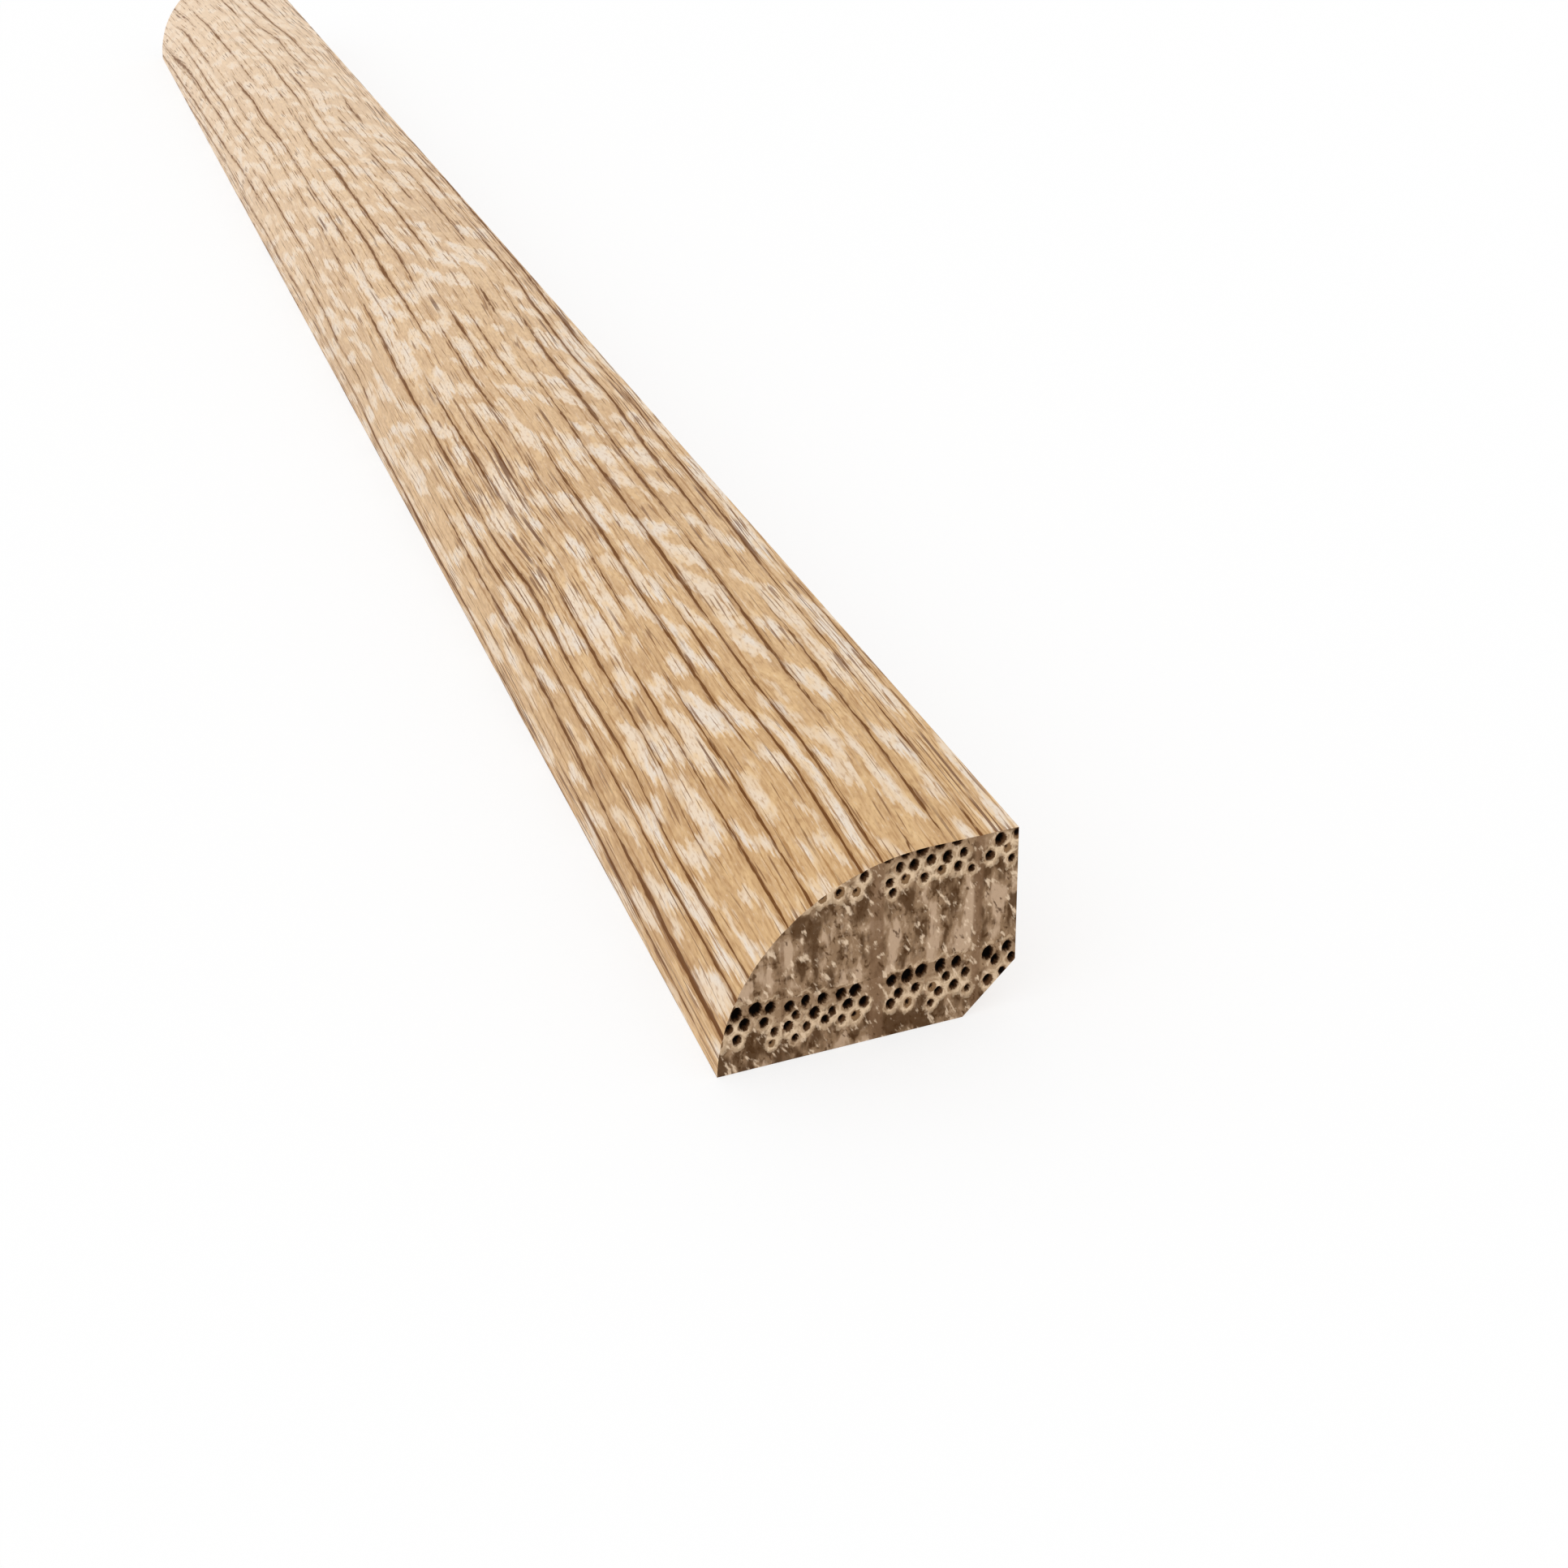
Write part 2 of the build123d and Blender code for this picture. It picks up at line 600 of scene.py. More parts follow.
@dataclass
class Stick:
    """The whole stick as one closed mesh with the grain in relief."""

    section: Section
    grain: GrainFigure = GrainFigure()
    near_end: EndGrain = EndGrain(seed=7)
    far_end: EndGrain = EndGrain(seed=19)
    strips: int = 3  # lengths of the face that lie side by side on the bake map
    rows: int = 249  # along the length, a multiple of the strips
    end_columns: int = 150  # across the end's grid
    end_levels: int = 100  # up the end's grid
    flat_columns: tuple[int, int, int] = (3, 2, 4)  # across the back, the relief and the base
    toe_share: float = 0.5  # of the round, that bounds the end grid on its toe side

    def face_stations(self) -> np.ndarray:
        """Distances along the face: even on the end grid's toe side, then even on its upper side."""
        turn = self.toe_share * self.section.arc_length
        low = np.linspace(0.0, turn, self.end_levels + 1)
        return np.concatenate([low, np.linspace(turn, self.section.face_length, self.end_columns + 1)[1:]])

    def end_flat_columns(self) -> tuple[int, int, int]:
        """Cells along the back, the relief and the base that the end's grid needs."""
        relief, base = self.section.relief * math.sqrt(2.0), self.section.width - self.section.relief
        on_relief = round(self.end_columns * relief / (relief + base))
        return self.end_levels, on_relief, self.end_columns - on_relief

    def flat_runs(self, columns: tuple[int, int, int]) -> list[np.ndarray]:
        """Even points along the back, the relief and the base, for a number of cells on each."""
        return [np.linspace(a, b, cells + 1) for (a, b), cells in zip(self.section.flats(), columns)]

    def end_grid(self, face_edge: np.ndarray) -> np.ndarray:
        """Fills the section between its four sides: opposite sides blended, less the blend of the corners.

        Args:
            face_edge: points along the face from the toe to the top back corner.

        Returns:
            Points with X and Z last, columns first and levels second.
        """
        runs = self.flat_runs(self.end_flat_columns())
        toe_side, upper = face_edge[:self.end_levels + 1], face_edge[self.end_levels:]
        lower = np.concatenate([runs[1], runs[2][1:]])[::-1]
        right = runs[0][::-1]
        u = np.linspace(0.0, 1.0, self.end_columns + 1)[:, None, None]
        v = np.linspace(0.0, 1.0, self.end_levels + 1)[None, :, None]
        sides = (1 - v) * lower[:, None] + v * upper[:, None] + (1 - u) * toe_side[None] + u * right[None]
        low_blend = (1 - u) * lower[0] + u * lower[-1]
        high_blend = (1 - u) * upper[0] + u * upper[-1]
        return sides - (1 - v) * low_blend - v * high_blend

    def stitch(self, fine: int, coarse: int) -> np.ndarray:
        """Joins two runs of different spacing by triangles, in the order of their cells' middles.

        Args:
            fine: cells along the first run.
            coarse: cells along the second run.

        Returns:
            Three numbers to a triangle, counting the first run's points and then the second's.
        """
        fine_middles, coarse_middles = (np.arange(fine) + 0.5) / fine, (np.arange(coarse) + 0.5) / coarse
        to_coarse = fine + 1 + np.searchsorted(coarse_middles, fine_middles, side="left")
        to_fine = np.searchsorted(fine_middles, coarse_middles, side="right")
        i, j = np.arange(fine), fine + 1 + np.arange(coarse)
        return np.concatenate([np.stack([i, i + 1, to_coarse], -1), np.stack([to_fine, j + 1, j], -1)])

    def build(self) -> bpy.types.Object:
        """Builds the stick's mesh and puts it in the scene.

        Returns:
            The stick's object, without its finishes.
        """
        section, half = self.section, self.section.length / 2
        along = np.linspace(0.0, section.length, self.rows + 1)
        s = self.face_stations()
        phase = self.grain.phase(s[None, :], along[:, None], section.length)
        strength = self.grain.strength(phase, along[:, None])
        groove = self.grain.groove(phase, strength, s[None, :], section.face_length)
        point, normal = section.face(s)
        face = point[None] - groove[..., None] * normal[None]

        flat_loop = np.concatenate([run[1:] for run in self.flat_runs(self.flat_columns)])[:-1]
        inner = along[1:-1]
        loop = np.concatenate([face[1:-1], np.broadcast_to(flat_loop, (len(inner), *flat_loop.shape))], 1)
        loop_y = np.broadcast_to(inner[:, None] - half, loop.shape[:2])
        body = np.stack([loop[..., 0], loop_y, loop[..., 1]], -1)

        ends, end_fields = [], []
        for grain, edge, at, inward in ((self.near_end, face[0], -half, 1),
                                        (self.far_end, face[-1], half, -1)):
            x, z = np.moveaxis(self.end_grid(edge), -1, 0)
            pore_fields = grain.pore_fields(x, z, section)
            pit = grain.pit(pore_fields, section.inset(x, z))
            ends.append(np.stack([x, at + inward * pit, z], -1))
            end_fields.append({**pore_fields, Field.RING_DEPTH: grain.ring_depth(x, z),
                               Field.RAY_GAP: grain.ray_gap(x, z)})

        vertices = np.concatenate([p.reshape(-1, 3) for p in (*ends, body)])
        end_size, columns, levels = ends[0][..., 0].size, self.end_columns, self.end_levels
        near_numbers = np.arange(end_size).reshape(columns + 1, levels + 1)
        end_numbers = [near_numbers, near_numbers + end_size]
        body_numbers = 2 * end_size + np.arange(body[..., 0].size).reshape(body.shape[:2])
        face_edges = [np.concatenate([n[0], n[1:, -1]]) for n in end_numbers]
        face_numbers = np.concatenate([face_edges[0][None], body_numbers[:, :len(s)], face_edges[1][None]])

        fields = {key: np.zeros(len(vertices)) for key in Field}
        torn = self.grain.torn(s[None, :], along[:, None], section.face_length)
        face_fields = {Field.GRAIN_PHASE: phase, Field.GRAIN_LINE: strength, Field.GRAIN_TORN: torn}
        for numbers, values in zip((face_numbers, *end_numbers), (face_fields, *end_fields)):
            for key, value in values.items():
                fields[key][numbers] = value

        facets, chart = Facets(), BakeMap()
        self.lay_face(facets, chart, face_numbers, along, s)
        self.lay_flats(facets, chart, end_numbers, body_numbers, along, len(s))
        self.lay_ends(facets, chart, end_numbers, ends)
        stick = bpy.data.objects.new("oak_stick", facets.mesh("oak_stick", vertices, fields))
        bpy.context.scene.collection.objects.link(stick)
        return stick

    def lay_face(self, facets: Facets, chart: BakeMap, numbers: np.ndarray, along: np.ndarray,
                 s: np.ndarray) -> None:
        """Adds the shaped face in its strips.

        Args:
            facets: the faces so far.
            chart: the bake map.
            numbers: the face's vertex numbers, rows along the length.
            along: distance of each row from the near end.
            s: distance of each column from the toe.
        """
        scale = (chart.side - 2 * chart.margin) * self.strips / self.section.length
        cells = self.rows // self.strips
        for strip in range(self.strips):
            rows = slice(strip * cells, (strip + 1) * cells + 1)
            low = chart.row(self.section.face_length, scale)
            start = along[strip * cells]
            places = chart.place((along[rows] - start)[:, None], s[None, :], scale, 0.0, low)
            facets.add_grid(numbers[rows], places, Panel.LIMED_FACE)

    def lay_flats(self, facets: Facets, chart: BakeMap, end_numbers: list[np.ndarray], body: np.ndarray,
                  along: np.ndarray, face_columns: int) -> None:
        """Adds the back, the relief and the base, stitched to the finer spacing of the ends.

        Args:
            facets: the faces so far.
            chart: the bake map.
            end_numbers: vertex numbers of the two ends' grids.
            body: vertex numbers between the ends, rows along the length.
            along: distance of each row from the near end.
            face_columns: columns of the shaped face, which come first in body.
        """
        scale = (chart.side - 2 * chart.margin) / self.section.length
        around = np.concatenate([body[:, face_columns - 1:], body[:, :1]], 1)
        end_around = [np.concatenate([n[-1, ::-1], n[-2::-1, 0]]) for n in end_numbers]
        first = end_first = 0
        spacings = zip(self.flat_columns, self.end_flat_columns())
        for (a, b), (cells, end_cells) in zip(self.section.flats(), spacings):
            wide = float(np.hypot(*(b - a)))
            low = chart.row(wide, scale)
            numbers = around[:, first:first + cells + 1]
            up, end_up = np.linspace(0.0, wide, cells + 1), np.linspace(0.0, wide, end_cells + 1)
            places = chart.place(along[1:-1, None], up[None, :], scale, 0.0, low)
            facets.add_grid(numbers, places, Panel.PLANED_FLAT)
            triangles = self.stitch(end_cells, cells)
            for end, row, at in ((0, 0, along[0]), (1, -1, along[-1])):
                end_run = end_around[end][end_first:end_first + end_cells + 1]
                end_places = chart.place(np.full(end_cells + 1, at), end_up, scale, 0.0, low)
                order = triangles if end == 0 else triangles[:, ::-1]
                corners = np.concatenate([end_run, numbers[row]])
                marks = np.concatenate([end_places, places[row]])
                facets.add(corners[order], marks[order], Panel.PLANED_FLAT)
            first, end_first = first + cells, end_first + end_cells

    def lay_ends(self, facets: Facets, chart: BakeMap, end_numbers: list[np.ndarray],
                 ends: list[np.ndarray]) -> None:
        """Adds the two ends side by side in the map's last row.

        Args:
            facets: the faces so far.
            chart: the bake map.
            end_numbers: vertex numbers of the two ends' grids.
            ends: places of those vertices.
        """
        scale = (chart.side - chart.used - 2 * chart.margin) / self.section.height
        low = chart.row(self.section.height, scale)
        for k, (numbers, points) in enumerate(zip(end_numbers, ends)):
            left = k * (self.section.width * scale + chart.margin)
            places = chart.place(points[..., 0] + self.section.back, points[..., 2], scale, left, low)
            if k == 0:
                numbers, places = numbers.T, places.swapaxes(0, 1)
            facets.add_grid(numbers, places, Panel.SAWN_END)

    def dress(self, stick: bpy.types.Object, finishes: dict[Panel, bpy.types.Material]) -> None:
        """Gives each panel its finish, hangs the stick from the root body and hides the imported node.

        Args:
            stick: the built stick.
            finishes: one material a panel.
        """
        for panel in Panel:
            stick.data.materials.append(finishes[panel])
        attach(stick, BODY)
        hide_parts(NODE)


@dataclass(frozen=True)
class Ramp:
    """A rise from 0 at low to the amount at high."""

    low: float
    high: float
    amount: float = 1.0

    def over(self, value: Socket) -> dict[str, Any]:
        """The inputs of a Map Range node on a value."""
        return {"Value": value, "From Min": self.low, "From Max": self.high, "To Max": self.amount}


def millimetres(node: AddNode) -> Socket:
    """The place on the stick in millimetres."""
    return node("VectorMath", {0: node("TexCoord", output="Object"), "Scale": 1.0 / MM}, operation="SCALE")


def spots(node: AddNode, place: Socket, size: Size, detail: float = 2.0,
          signed: bool = False) -> Socket:
    """Noise with spots of a real size: the place over that size.

    Args:
        node: adds a node to the tree.
        place: where the noise is read, in millimetres.
        size: the spots' size along each axis of the place, in millimetres.
        detail: octaves of finer noise.
        signed: True for heights about 0, or False for heights from 0 to 1.

    Returns:
        The noise's height.
    """
    scaled = node("VectorMath", {0: place, 1: size}, operation="DIVIDE")
    return node("TexNoise", {"Vector": scaled, "Scale": 1.0, "Detail": detail}, normalize=not signed)


def coats(node: AddNode, ground: str, *layers: tuple[Socket, str]) -> Socket:
    """Lays colours over a ground, one after another.

    Args:
        node: adds a node to the tree.
        ground: the lowest colour, as sRGB hex.
        layers: how much of each further colour shows, and that colour.

    Returns:
        The colour on top.
    """
    top = linear(ground)
    for amount, colour in layers:
        top = node("Mix", {0: amount, 6: top, 7: linear(colour)}, 2, data_type="RGBA")
    return top


@dataclass(frozen=True)
class Finish:
    """One finish of the stick as a node material."""

    name: str

    def make(self) -> bpy.types.Material:
        """Makes the material round one Principled shader.

        Returns:
            The finished material.
        """
        made = bpy.data.materials.new(self.name)
        made.use_nodes = True
        tree = made.node_tree
        tree.nodes.clear()
        shader = add_node(tree, "BsdfPrincipled", self.paint(partial(add_node, tree)))
        add_node(tree, "OutputMaterial", {"Surface": shader})
        return made

    def paint(self, node: AddNode) -> dict[str, Any]:
        """Builds the pattern and gives the shader's inputs."""
        raise NotImplementedError


@dataclass(frozen=True)
class LimedOak(Finish):
    """Rift oak, limed and lacquered.

    The eye gets a smooth warm tan ground, thin dark growth lines that taper and break, pale frayed ray
    flecks between those lines, with ends that lean to the toe, short dark pores along the lines and in the
    torn grain, and a satin sheen at a low angle. Toward the far end the ground is paler, partly in tone and
    partly as painted sheen.
    """

    name: str = "limed_oak_lacquered"
    tan: str = "#D8B17F"
    deep_tan: str = "#AE8150"
    # pale tan of the far end, partly the wood's tone and partly painted sheen
    far_tan_and_sheen: str = "#F5DEC4"
    fleck: str = "#E8CFB0"
    heart: str = "#ECD8C0"  # middle of a fleck
    frost: str = "#E9DCCD"  # greyer middle of a fleck
    blush: str = "#E9C48F"
    shade: str = "#A27239"
    pore: str = "#7B4F25"
    line: str = "#6C411A"
    roughness: float = 0.55
    sheen: Span = (0.32, 0.05)  # specular level beside a line and in it
    relief: float = 0.02  # height of the fibres
    pitch: float = 1.75  # between growth lines, as in the grain figure
    # Growth lines, in millimetres from their middle
    feather_size: Size = (0.12, 2.2, 1.0)
    feather_sway: float = 0.06  # in growth lines
    line_core: float = 0.076  # half width of a full line
    line_rim: float = 0.06  # soft edge beside it
    line_seen: Ramp = Ramp(0.0, 0.4, 0.95)
    line_fade: float = 0.3  # of a line, for each share that the face is paler in tone and painted sheen
    line_cut: float = 0.15  # of a line, where a fleck crosses it
    brown_beside: Ramp = Ramp(0.5, 0.05, 0.5)
    thin_rate: float = 2.37  # thin lines to a growth line
    thin_line: Ramp = Ramp(0.1, 0.04)
    thin_size: Size = (0.7, 9.0, 1.0)
    thin_torn: float = 0.14  # fewer breaks in torn grain
    thin_break: Ramp = Ramp(0.46, 0.58, 0.72)
    # Ray flecks, in strands of fibres
    strand_width: float = 0.11
    strand_patch: Size = (1.0, 1.0, 1.0)  # where strands are wider or narrower together
    strand_sway: float = 0.3
    strand_slide: float = 1.1  # most that a strand's flecks slip along the grain
    fleck_lean: float = 2.1  # along the grain for each mm across
    fleck_size: Size = (1.4, 5.0, 1.0)
    brick_size: Size = (1.1, 4.6, 1.0)  # across in growth lines
    brick_share: float = 0.8
    brick_margin: Ramp = Ramp(0.42, 0.1, -0.1)  # a fleck thins out beside a growth line
    crowd_size: Size = (9.0, 11.0, 1.0)  # where flecks lie close together
    crowd_share: float = 0.45
    chance_share: float = 0.05  # of a strand's own chance
    flecks: Ramp = Ramp(1.12, 1.18, 0.85)
    hearts: Ramp = Ramp(1.18, 1.27, 0.85)
    frost_size: Size = (2.2, 8.0, 1.0)
    frosts: Ramp = Ramp(0.47, 0.6, 0.9)
    # Ground
    fibre_size: Size = (0.14, 3.4, 1.0)  # coarser than real fibres, so that they show
    fibres: Ramp = Ramp(0.44, 0.7, 0.68)
    tone_size: Size = (6.0, 50.0, 1.0)
    tone: Ramp = Ramp(0.4, 0.7, 0.4)
    streak_size: Size = (0.18, 5.0, 1.0)
    streak_torn: float = 0.12  # more streaks in torn grain
    streaks: Ramp = Ramp(0.55, 0.74, 0.45)
    grit_size: Size = (0.15, 0.8, 1.0)
    grit: Ramp = Ramp(0.48, 0.78, 0.65)
    specks: Ramp = Ramp(0.42, 0.2, 0.6)
    blush_size: Size = (0.5, 2.2, 1.0)
    blushes: Ramp = Ramp(0.46, 0.7, 0.55)
    paler_with_sheen_along: Ramp = Ramp(-140.0, 150.0, 0.7)  # from the near end to the far end, partly paler tone and partly painted sheen
    # Pores, short dashes, and longer splits that show in torn grain
    dash_size: Size = (0.14, 6.0, 1.0)
    dash_by_line: Ramp = Ramp(0.5, 0.1, 0.06)
    dash_torn: float = 0.07
    dashes: Ramp = Ramp(0.69, 0.77, 0.75)
    split_width: float = 0.13  # of the strands that split
    split_slide: float = 20.0  # most that a strand's splits slip along the grain
    split_size: Size = (0.05, 14.0, 1.0)
    split_torn: float = 0.15
    splits: Ramp = Ramp(0.745, 0.85, 0.85)

    def strands(self, node: AddNode, over: Socket, along: Socket, width: float,
                slide: float) -> tuple[Socket, Socket, Socket]:
        """Splits the face into narrow strands: uneven steps across the grain, each with its own chance.

        Args:
            node: adds a node to the tree.
            over: the place across the grain.
            along: the place along the grain.
            width: of a strand.
            slide: most that a strand slips along the grain.

        Returns:
            Each strand's place across, the place along as it slipped, and its chance from 0 to 1.
        """
        uneven = spots(node, over, self.strand_patch, detail=0.0, signed=True)
        swayed = node("Math", {0: uneven, 1: self.strand_sway, 2: over}, operation="MULTIPLY_ADD")
        across = node("Math", {0: swayed, 1: width}, operation="SNAP")
        chance = node("TexWhiteNoise", {"W": across}, noise_dimensions="1D")
        return across, node("Math", {0: chance, 1: slide, 2: along}, operation="MULTIPLY_ADD"), chance

    def growth_lines(self, node: AddNode, phase: Socket, lie: Socket, strength: Socket,
                     torn: Socket) -> tuple[Socket, Socket, Socket, Socket]:
        """Draws the growth lines, wider where they are stronger, with thinner broken ones between.

        Args:
            node: adds a node to the tree.
            phase: growth lines counted from the toe.
            lie: the place across and along the grain, in millimetres.
            strength: how strong the nearest growth line is.
            torn: how rough the grain is.

        Returns:
            The distance from the nearest line, and how much shows of the lines, the brown beside them and
            the thinner lines.
        """
        feather = spots(node, lie, self.feather_size, signed=True)
        place = node("Math", {0: feather, 1: self.feather_sway, 2: phase}, operation="MULTIPLY_ADD")
        finer = node("Math", {0: place, 1: self.thin_rate}, operation="MULTIPLY")
        from_line, from_finer = (node("Math", {0: count, 1: 0.5}, operation="PINGPONG")
                                 for count in (place, finer))
        gap = node("Math", {0: from_line, 1: self.pitch}, operation="MULTIPLY")
        swell = node("Math", {0: strength, 1: strength}, operation="MULTIPLY")
        core = node("Math", {0: swell, 1: self.line_core}, operation="MULTIPLY")
        rim = node("Math", {0: core, 1: self.line_rim}, operation="ADD")
        in_line = node("MapRange", {"Value": gap, "From Min": rim, "From Max": core}, **SMOOTH)
        unbroken = node("Math", {0: torn, 1: self.thin_torn, 2: spots(node, lie, self.thin_size)},
                        operation="MULTIPLY_ADD")
        seen, beside, thin, whole = (
            node("MapRange", ramp.over(value), **SMOOTH)
            for ramp, value in ((self.line_seen, strength), (self.brown_beside, gap),
                                (self.thin_line, from_finer), (self.thin_break, unbroken)))
        lines, browned, thin_lines = (
            node("Math", {0: shown, 1: share}, operation="MULTIPLY")
            for shown, share in ((in_line, seen), (beside, strength), (thin, whole)))
        return gap, lines, browned, thin_lines

    def ray_figure(self, node: AddNode, phase: Socket, over: Socket, along: Socket) -> Socket:
        """Sums the ray flecks' noises: bricks between lines, frayed strands, and bands where they crowd.

        Args:
            node: adds a node to the tree.
            phase: growth lines counted from the toe.
            over: the place across the grain.
            along: the place along the grain.

        Returns:
            Heights that are greatest in the middle of a fleck.
        """
        across, slid, chance = self.strands(node, over, along, self.strand_width, self.strand_slide)
        leaning = node("Math", {0: across, 1: self.fleck_lean, 2: slid}, operation="MULTIPLY_ADD")
        interval = node("Math", {0: phase}, operation="FLOOR")
        by_strand, by_line = (node("CombineXYZ", {"X": step, "Y": leaning}) for step in (across, interval))
        figure = spots(node, by_strand, self.fleck_size, detail=1.0)
        brick = spots(node, by_line, self.brick_size, detail=0.0)
        crowd = spots(node, by_strand, self.crowd_size, detail=1.0)
        for height, share in ((brick, self.brick_share), (crowd, self.crowd_share),
                              (chance, self.chance_share)):
            figure = node("Math", {0: height, 1: share, 2: figure}, operation="MULTIPLY_ADD")
        return figure

    def paint(self, node: AddNode) -> dict[str, Any]:
        """Builds the pattern.

        Args:
            node: adds a node to the tree.

        Returns:
            The shader's inputs.
        """
        phase, strength, torn = (node("Attribute", output="Fac", attribute_name=f.value)
                                 for f in (Field.GRAIN_PHASE, Field.GRAIN_LINE, Field.GRAIN_TORN))
        over = node("Math", {0: phase, 1: self.pitch}, operation="MULTIPLY")
        along = node("SeparateXYZ", {0: millimetres(node)}, "Y")
        lie = node("CombineXYZ", {"X": over, "Y": along})
        gap, lines, browned, thin_lines = self.growth_lines(node, phase, lie, strength, torn)

        # Flecks, which stop beside a line, with paler and greyer hearts
        margin = node("MapRange", self.brick_margin.over(gap), **SMOOTH)
        figure = node("Math", {0: self.ray_figure(node, phase, over, along), 1: margin}, operation="ADD")
        flecks, hearts = (node("MapRange", ramp.over(figure), **SMOOTH)
                          for ramp in (self.flecks, self.hearts))
        tone, blushes, greyer = (
            node("MapRange", ramp.over(spots(node, lie, size)), **SMOOTH)
            for ramp, size in ((self.tone, self.tone_size), (self.blushes, self.blush_size),
                               (self.frosts, self.frost_size)))
        frosts = node("Math", {0: hearts, 1: greyer}, operation="MULTIPLY")

        # Fine fibres and grit, a far end paler in tone and in painted sheen, and lines that fade along the
        # length and under the flecks
        fibre = spots(node, lie, self.fibre_size, detail=4.0)
        grain = spots(node, lie, self.grit_size)
        fibres, grit, specks = (
            node("MapRange", ramp.over(value), **SMOOTH)
            for ramp, value in ((self.fibres, fibre), (self.grit, grain), (self.specks, grain)))
        # paler toward the far end: partly the wood's tone, partly painted sheen
        paler_with_sheen = node("MapRange", self.paler_with_sheen_along.over(along))
        cut_lines = lines
        for cover, share in ((paler_with_sheen, self.line_fade), (flecks, self.line_cut)):
            kept = node("Math", {0: cover, 1: -share, 2: 1.0}, operation="MULTIPLY_ADD")
            cut_lines = node("Math", {0: cut_lines, 1: kept}, operation="MULTIPLY")

        # Pale streaks, short pores and splits, more of them in torn grain, and more pores beside a line
        by_line = node("MapRange", self.dash_by_line.over(gap), **SMOOTH)
        dash = spots(node, lie, self.dash_size, detail=0.0)
        dash = node("Math", {0: by_line, 1: strength, 2: dash}, operation="MULTIPLY_ADD")
        across, slid, _ = self.strands(node, over, along, self.split_width, self.split_slide)
        split = spots(node, node("CombineXYZ", {"X": across, "Y": slid}), self.split_size, detail=0.0)
        streak = spots(node, lie, self.streak_size)
        marks = []
        for ramp, share, value in ((self.streaks, self.streak_torn, streak),
                                   (self.dashes, self.dash_torn, dash),
                                   (self.splits, self.split_torn, split)):
            more = node("Math", {0: torn, 1: share, 2: value}, operation="MULTIPLY_ADD")
            marks.append(node("MapRange", ramp.over(more), **SMOOTH))
        streaks, pores, splits = marks

        colour = coats(node, self.tan, (tone, self.deep_tan), (fibres, self.deep_tan),
                       (streaks, self.fleck), (flecks, self.fleck), (hearts, self.heart),
                       (frosts, self.frost), (blushes, self.blush), (specks, self.fleck),
                       (grit, self.deep_tan), (paler_with_sheen, self.far_tan_and_sheen), (browned, self.shade),
                       (thin_lines, self.shade), (pores, self.pore), (splits, self.line),
                       (cut_lines, self.line))
        beside, inside = self.sheen
        sheen = node("MapRange", {"Value": lines, "To Min": beside, "To Max": inside})
        relief = node("Bump", {"Height": fibre, "Distance": self.relief * MM}, "Normal")
        return {"Base Color": colour, "Roughness": self.roughness, "Specular IOR Level": sheen,
                "Normal": relief}


@dataclass(frozen=True)
class PlanedOak(Finish):
    """Bare planed oak on the hidden flats.

    The eye gets a dry matt tan with fine fibres, short dark pores and the faint ripple of the planer.
    """

    name: str = "planed_oak_bare"
    tan: str = "#CFAC82"
    deep_tan: str = "#AF8659"
    pore: str = "#6B4826"
    roughness: float = 0.75
    ior: float = 1.45
    relief: float = 0.03  # height of the fibres
    knife_pitch: float = 1.4  # between the planer's marks
    ripple: float = 0.15  # height of those marks, as a share of the fibres
    tone_size: Size = (1.6, 45.0, 1.6)
    tone: Ramp = Ramp(0.38, 0.66, 0.9)
    fibre_size: Size = (0.14, 7.0, 0.14)  # coarser than real fibres, so that they show
    fibres: Ramp = Ramp(0.48, 0.75, 0.6)
    pore_size: Size = (0.2, 5.0, 0.2)
    pores: Ramp = Ramp(0.6, 0.7, 0.8)

    def paint(self, node: AddNode) -> dict[str, Any]:
        """Builds the pattern.

        Args:
            node: adds a node to the tree.

        Returns:
            The shader's inputs.
        """
        here = millimetres(node)
        fibre = spots(node, here, self.fibre_size, detail=3.0)
        tone, fibres, pores = (
            node("MapRange", ramp.over(value), **SMOOTH)
            for ramp, value in ((self.tone, spots(node, here, self.tone_size)), (self.fibres, fibre),
                                (self.pores, spots(node, here, self.pore_size, detail=1.0))))
        along = node("SeparateXYZ", {0: here}, "Y")
        turns = node("Math", {0: along, 1: math.tau / self.knife_pitch}, operation="MULTIPLY")
        ripple = node("Math", {0: turns}, operation="SINE")
        height = node("Math", {0: ripple, 1: self.ripple, 2: fibre}, operation="MULTIPLY_ADD")
        colour = coats(node, self.tan, (tone, self.deep_tan), (fibres, self.deep_tan), (pores, self.pore))
        relief = node("Bump", {"Height": height, "Distance": self.relief * MM}, "Normal")
        return {"Base Color": colour, "Roughness": self.roughness, "IOR": self.ior, "Normal": relief}


